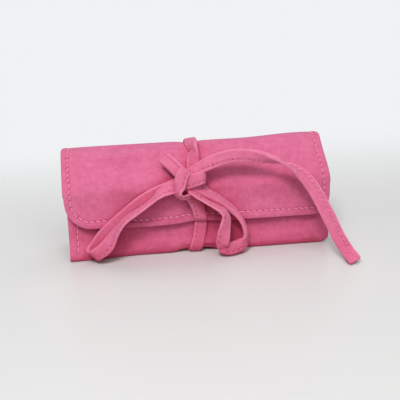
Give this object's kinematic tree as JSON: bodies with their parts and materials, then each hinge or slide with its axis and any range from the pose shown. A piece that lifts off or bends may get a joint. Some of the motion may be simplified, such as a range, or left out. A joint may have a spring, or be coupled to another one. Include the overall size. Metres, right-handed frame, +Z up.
{
  "type": "toiletry bag",
  "caption": "Suede fold-over roll with a padded back and front, inner pockets, a rounded flap and a strap tied in a bow to keep it shut.",
  "frame": {"origin": "on the surface the roll stands on, under the middle of the closed roll without its strap", "axes": "+X along the roll to the right seen from the front, -Y to the front, +Z up"},
  "size_m": [0.2097, 0.0863, 0.0807],
  "materials": {
    "suede": "brushed nap, matt",
    "strap_suede": "folded and stitched, matt",
    "lining": "plain woven cotton",
    "wadding": "lofty felt",
    "zip_tape": "ribbed tape",
    "zip_coil": "nylon coil",
    "zip_metal": "bright plated"
  },
  "bodies": {
    "back_section": {"back_panel": "suede", "back_lining": "lining", "back_padding": "wadding", "zip_pocket": "lining", "zip_tape_upper": "zip_tape", "zip_tape_lower": "zip_tape", "zip_coil_upper": "zip_coil", "zip_coil_lower": "zip_coil", "zip_stop_left": "zip_metal", "zip_stop_right": "zip_metal", "tie_back_strand": "strap_suede"},
    "front_section": {"front_panel": "suede", "front_lining": "lining", "front_padding": "wadding", "slip_pocket": "lining", "tie_lower_strand": "strap_suede"},
    "flap": {"flap_panel": "suede", "flap_lining": "lining", "tie_top_strand": "strap_suede", "tie_upper_strand": "strap_suede", "tie_knot": "strap_suede", "tie_loop_left": "strap_suede", "tie_loop_right": "strap_suede", "tie_tail_long": "strap_suede", "tie_tail_short": "strap_suede"},
    "slider": {"zip_slider": "zip_metal"},
    "pull": {"zip_pull": "zip_metal"}
  },
  "joints": [
    {"name": "flap_lift", "type": "hinge", "parent": "back_section", "child": "flap", "pos_m": [0, 0.0193, 0.0773], "axis": [-1, 0, 0], "range_deg": [0, 150]},
    {"name": "front_fold", "type": "hinge", "parent": "back_section", "child": "front_section", "pos_m": [0, -0.0165, 0.0007], "axis": [1, 0, 0], "range_deg": [0, 80]},
    {"name": "slider_run", "type": "slide", "parent": "back_section", "child": "slider", "axis": [1, 0, 0], "range_m": [0, 0.139]},
    {"name": "pull_swing", "type": "hinge", "parent": "slider", "child": "pull", "pos_m": [-0.0695, 0.00688, 0.04243], "axis": [0, -0.4226, -0.9063], "range_deg": [0, 170]}
  ],
  "couplings": [
    {"joint": "front_fold", "follows": "flap_lift", "ratio": 0.53}
  ]
}
